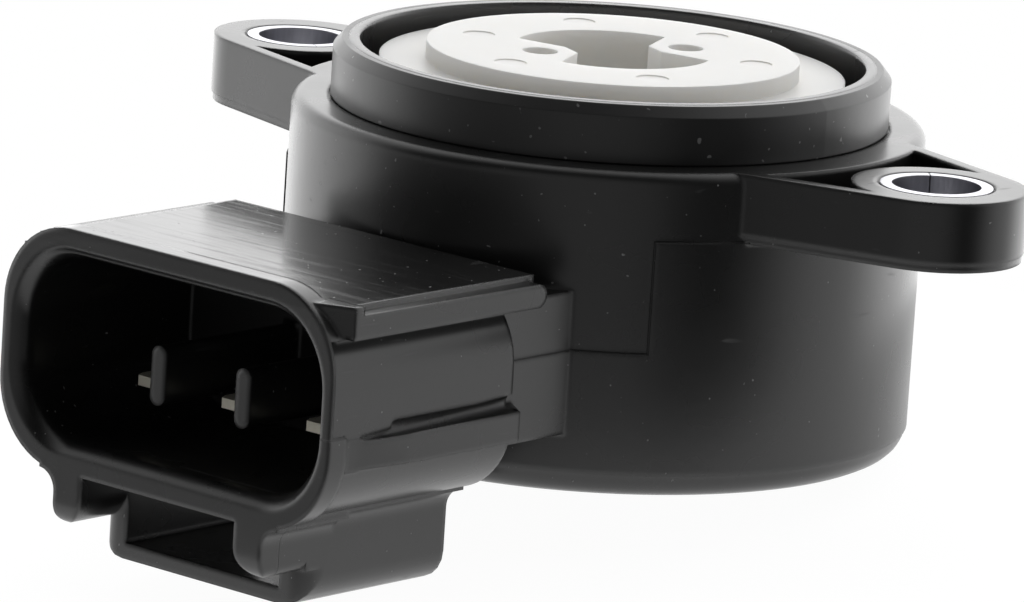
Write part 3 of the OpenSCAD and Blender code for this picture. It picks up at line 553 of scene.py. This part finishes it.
# Inside the cup, unseen until it is opened, are the sintered bearing, its washer and ring,
# the steel spring, the wiper and the laminate board with its two printed tracks. Sealant
# holds the cover that closes them in.
def inner_metal(name, low, high, size, rough):
    paint = Paint(name)
    grain = paint.noise(size, 3.0)
    normal = paint.bump(grain, 0.004 * MM, paint.rounded(0.05 * MM))
    return paint.surface(Base_Color=paint.mix(grain, low, high), Metallic=1.0,
                         Roughness=rough + grain * 0.15, Normal=normal)


def inner_plain(name, low, high, size, rough):
    paint = Paint(name)
    grain = paint.noise(size, 3.0)
    normal = paint.bump(grain, 0.003 * MM, paint.rounded(0.08 * MM))
    return paint.surface(Base_Color=paint.mix(grain, low, high),
                         Roughness=rough + grain * 0.1, Normal=normal)


BRONZE = (0.42, 0.27, 0.13, 1), (0.62, 0.43, 0.24, 1)
CONTACT = (0.68, 0.52, 0.26, 1), (0.85, 0.70, 0.40, 1)
WASHER = (0.66, 0.62, 0.50, 1), (0.74, 0.71, 0.60, 1)
LAMINATE = (0.05, 0.17, 0.08, 1), (0.09, 0.26, 0.12, 1)
dress(inner_metal("sintered_bronze", *BRONZE, 0.2 * MM, 0.45), "bearing_bush")
spring_steel = inner_metal("spring_steel", grey(0.34), grey(0.52), 0.4 * MM, 0.25)
dress(spring_steel, "return_spring", "retaining_ring")
dress(inner_metal("contact_alloy", *CONTACT, 0.5 * MM, 0.2), "wiper_leaf")
dress(inner_metal("silver_ink", grey(0.50), grey(0.66), 0.2 * MM, 0.5), "collector_track")
dress(inner_plain("washer_plastic", *WASHER, 1.5 * MM, 0.4), "thrust_washer")
dress(inner_plain("carrier_plastic", grey(0.05), grey(0.08), 1.0 * MM, 0.4), "wiper_carrier")
dress(inner_plain("board_laminate", *LAMINATE, 0.8 * MM, 0.35), "resistor_board")
dress(inner_plain("resistor_ink", grey(0.018), grey(0.03), 0.3 * MM, 0.55), "resistor_track")
dress(inner_plain("sealant", grey(0.02), grey(0.04), 1.2 * MM, 0.25), "cover_sealant")


# The sensor lies on the latch hood's back edge and the cup's lower edge, so the sheet
# under it leans. The sheet is small and white, and keeps a faint shadow.
SHEET_RADIUS, SHEET_MIDDLE_Y, SHEET_GAP = 52 * MM, -8 * MM, 0.05 * MM
SHEET_GLOW, GLOW_SHARE = 1.07, 0.9
HOOD_BACK_Y, CUP_EDGE_Y, CUP_LOW_Z = -23 * MM, 18.6 * MM, -20.3 * MM
hood_edge = Vector((0, HOOD_BACK_Y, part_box("housing")[0][2]))
cup_edge = Vector((0, CUP_EDGE_Y, CUP_LOW_Z))
lean = math.atan2(cup_edge.z - hood_edge.z, cup_edge.y - hood_edge.y)
middle = hood_edge.lerp(cup_edge, (SHEET_MIDDLE_Y - hood_edge.y) / (cup_edge.y - hood_edge.y))
bpy.ops.object.select_all(action="DESELECT")
bpy.ops.mesh.primitive_circle_add(vertices=96, radius=SHEET_RADIUS, fill_type="NGON",
                                  location=middle - Vector((0, 0, SHEET_GAP)),
                                  rotation=(lean, 0, 0))
sheet = bpy.context.object
sheet.name = "sheet"
white = Paint("white_sheet")
seen = white.add("ShaderNodeLightPath", out=0)
mirrored = white.add("ShaderNodeLightPath", out=3)
lit = white.add("ShaderNodeBsdfDiffuse", None, grey(0.9))
glow = white.add("ShaderNodeEmission", None, grey(1.0), SHEET_GLOW)
shown = white.add("ShaderNodeMixShader", None, GLOW_SHARE, lit, glow)
both = white.add("ShaderNodeMixShader", None, seen.sum("MAXIMUM", seen, mirrored), lit, shown)
white.add("ShaderNodeOutputMaterial", None, both)
sheet.data.materials.append(white.material)


# The studio is bright behind the part and on both its sides, and dark round the camera,
# with weak fills in front and at the left. The camera itself sees plain white.
world = bpy.data.worlds.new("studio")
bpy.context.scene.world = world
world.use_nodes = True
sky = Paint("studio", world.node_tree)
direction = sky.add("ShaderNodeTexCoord", out=0)


def towards(azimuth, elevation):
    """How far a ray points in a direction, from -1 to 1. Azimuth 0 is along +X."""
    az, el = math.radians(azimuth), math.radians(elevation)
    axis = (math.cos(az) * math.cos(el), math.sin(az) * math.cos(el), math.sin(el))
    return sky.add("ShaderNodeVectorMath", {"operation": "DOT_PRODUCT"}, direction, axis, out=1)


SWEEP_AT, LEFT_BOX_AT, FRONT_FILL_AT, LEFT_FILL_AT = (112, 0), (188, 0), (-65, -5), (229, -10)
SWEEP, SWEEP_CORE, LEFT_BOX = 0.95, 1.15, 0.9
FRONT_FILL, LEFT_FILL, ALL_ROUND = 0.3, 0.35, 0.02
behind = towards(*SWEEP_AT)
sweep = behind.above(-0.45, 0.3) * SWEEP + behind.above(0.45, 0.8) * SWEEP_CORE
left_box = towards(*LEFT_BOX_AT).above(0.75, 0.97) * LEFT_BOX
front_fill = towards(*FRONT_FILL_AT).above(0.6, 0.95) * FRONT_FILL
left_fill = towards(*LEFT_FILL_AT).above(0.85, 0.98) * LEFT_FILL
seen = sky.add("ShaderNodeLightPath", out=0)
level = seen + (1 - seen) * (sweep + left_box + (front_fill + left_fill) + ALL_ROUND)
shine = sky.add("ShaderNodeBackground", None, grey(1.0), level)
sky.add("ShaderNodeOutputWorld", None, shine)

bpy.context.scene.view_settings.view_transform = "Standard"
